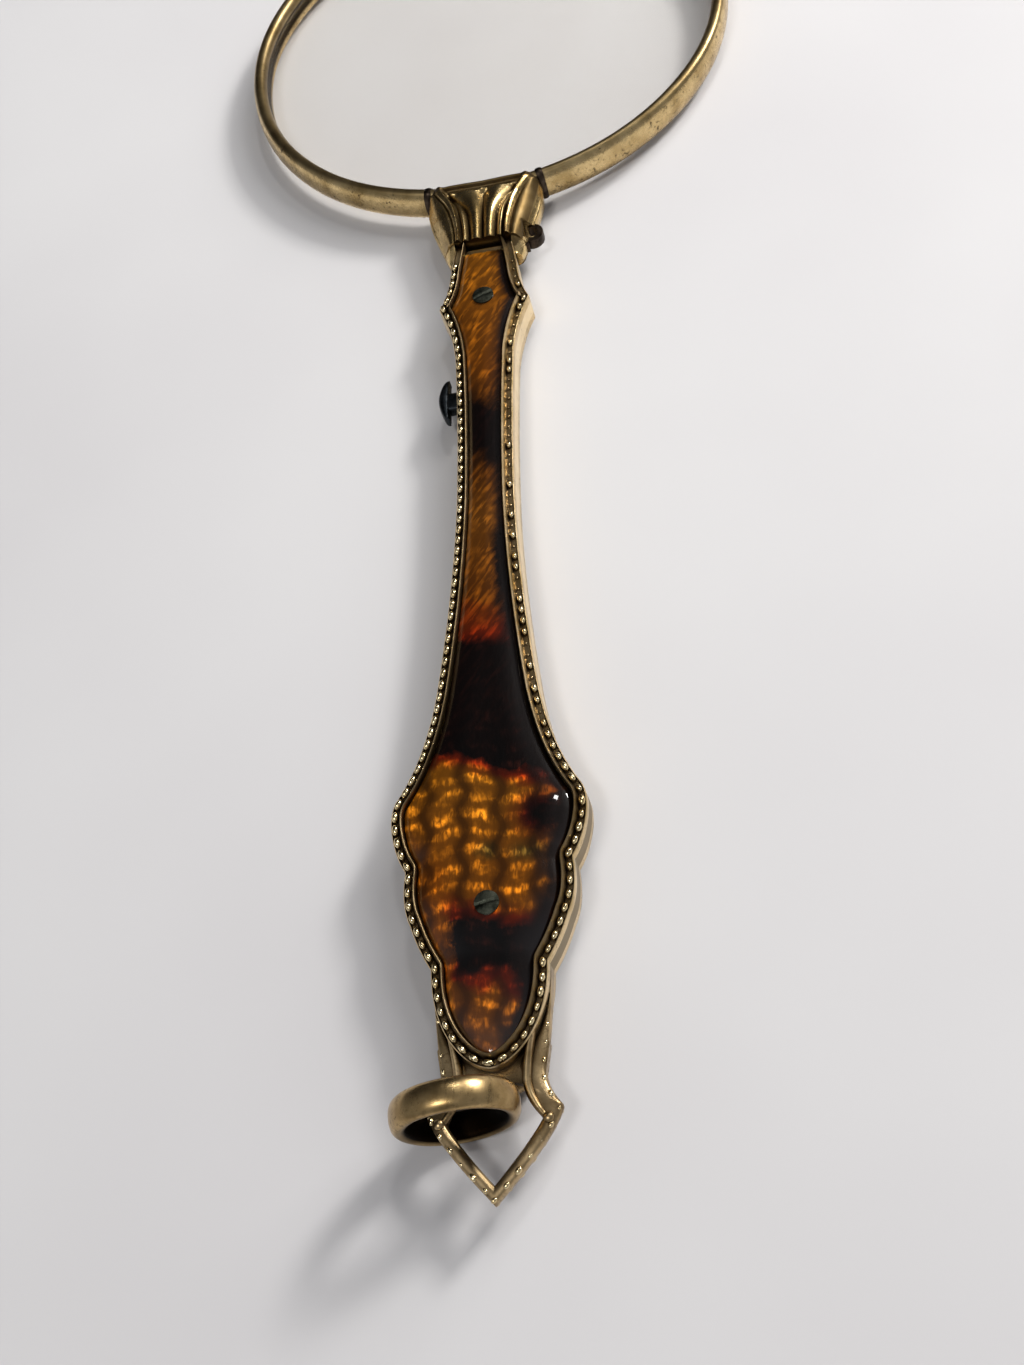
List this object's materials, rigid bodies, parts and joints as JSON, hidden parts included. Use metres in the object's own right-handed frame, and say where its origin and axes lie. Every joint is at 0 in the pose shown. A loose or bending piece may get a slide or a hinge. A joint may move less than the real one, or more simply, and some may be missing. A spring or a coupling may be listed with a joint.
{
  "type": "folding lorgnette",
  "caption": "Folding lorgnette: round lenses on a sprung bridge, a slim inlaid handle with a release button, catch hook and suspension ring.",
  "frame": {"origin": "flat back face of the collar, on the handle's centre line", "axes": "+Y up the handle towards the lenses, +X towards the hook side, +Z out of the front face"},
  "size_m": [0.0759, 0.1576, 0.0069],
  "materials": {
    "gilt_brass": "satin, worn gilding with dark patina",
    "ring_brass": "satin, darker worn gilding",
    "tortoiseshell": "polished, mottled amber to black",
    "gilt_foil": "engine-turned leaf",
    "steel": "dull",
    "blued_steel": "dark blued",
    "lens_glass": "clear polished"
  },
  "bodies": {
    "handle": {"front_shell": "gilt_brass", "back_shell": "gilt_brass", "handle_side_band": "gilt_brass", "collar_side_band": "gilt_brass", "ring_loop": "gilt_brass", "collar_front": "gilt_brass", "collar_back": "gilt_brass", "front_foil": "gilt_foil", "back_foil": "gilt_foil", "front_inlay": "tortoiseshell", "back_inlay": "tortoiseshell", "front_inlay_screws": "steel", "back_inlay_screws": "steel", "screw_posts": "steel", "rim_clamp_block": "steel", "rim_clamp_screw": "steel", "rim_ferrules": "blued_steel", "fixed_rim": "gilt_brass", "fixed_lens": "lens_glass", "fixed_hinge_arm": "gilt_brass", "hinge_pin": "steel", "bridge_spring": "blued_steel", "latch_pivot_pin": "steel", "latch_return_spring": "blued_steel"},
    "folding_lens": {"folding_rim": "gilt_brass", "folding_lens": "lens_glass", "folding_hinge_arm": "gilt_brass", "catch_lug": "gilt_brass", "catch_pin": "steel", "rim_closing_screw": "steel"},
    "latch": {"latch_lever": "blued_steel", "release_button": "blued_steel"},
    "ring": {"suspension_ring": "ring_brass"}
  },
  "joints": [
    {"name": "lens_fold", "type": "hinge", "parent": "handle", "child": "folding_lens", "pos_m": [0.01549, 0.04512, 0.0033], "axis": [0.8192, -0.5736, 0], "range_deg": [0, 180], "stiffness_Nm_per_rad": 0.002, "springref_deg": -34.38, "deforming": ["bridge_spring"]},
    {"name": "latch_press", "type": "hinge", "parent": "handle", "child": "latch", "pos_m": [0, -0.0602, 0.00165], "axis": [0, 0, -1], "range_deg": [0, 0.75], "stiffness_Nm_per_rad": 1, "springref_deg": -0.57, "deforming": ["latch_return_spring"]},
    {"name": "ring_swing", "type": "hinge", "parent": "handle", "child": "ring", "pos_m": [-0.0028, -0.0657, 0.00185], "axis": [0.1392, -0.9903, 0], "range_deg": [0, 265]}
  ]
}
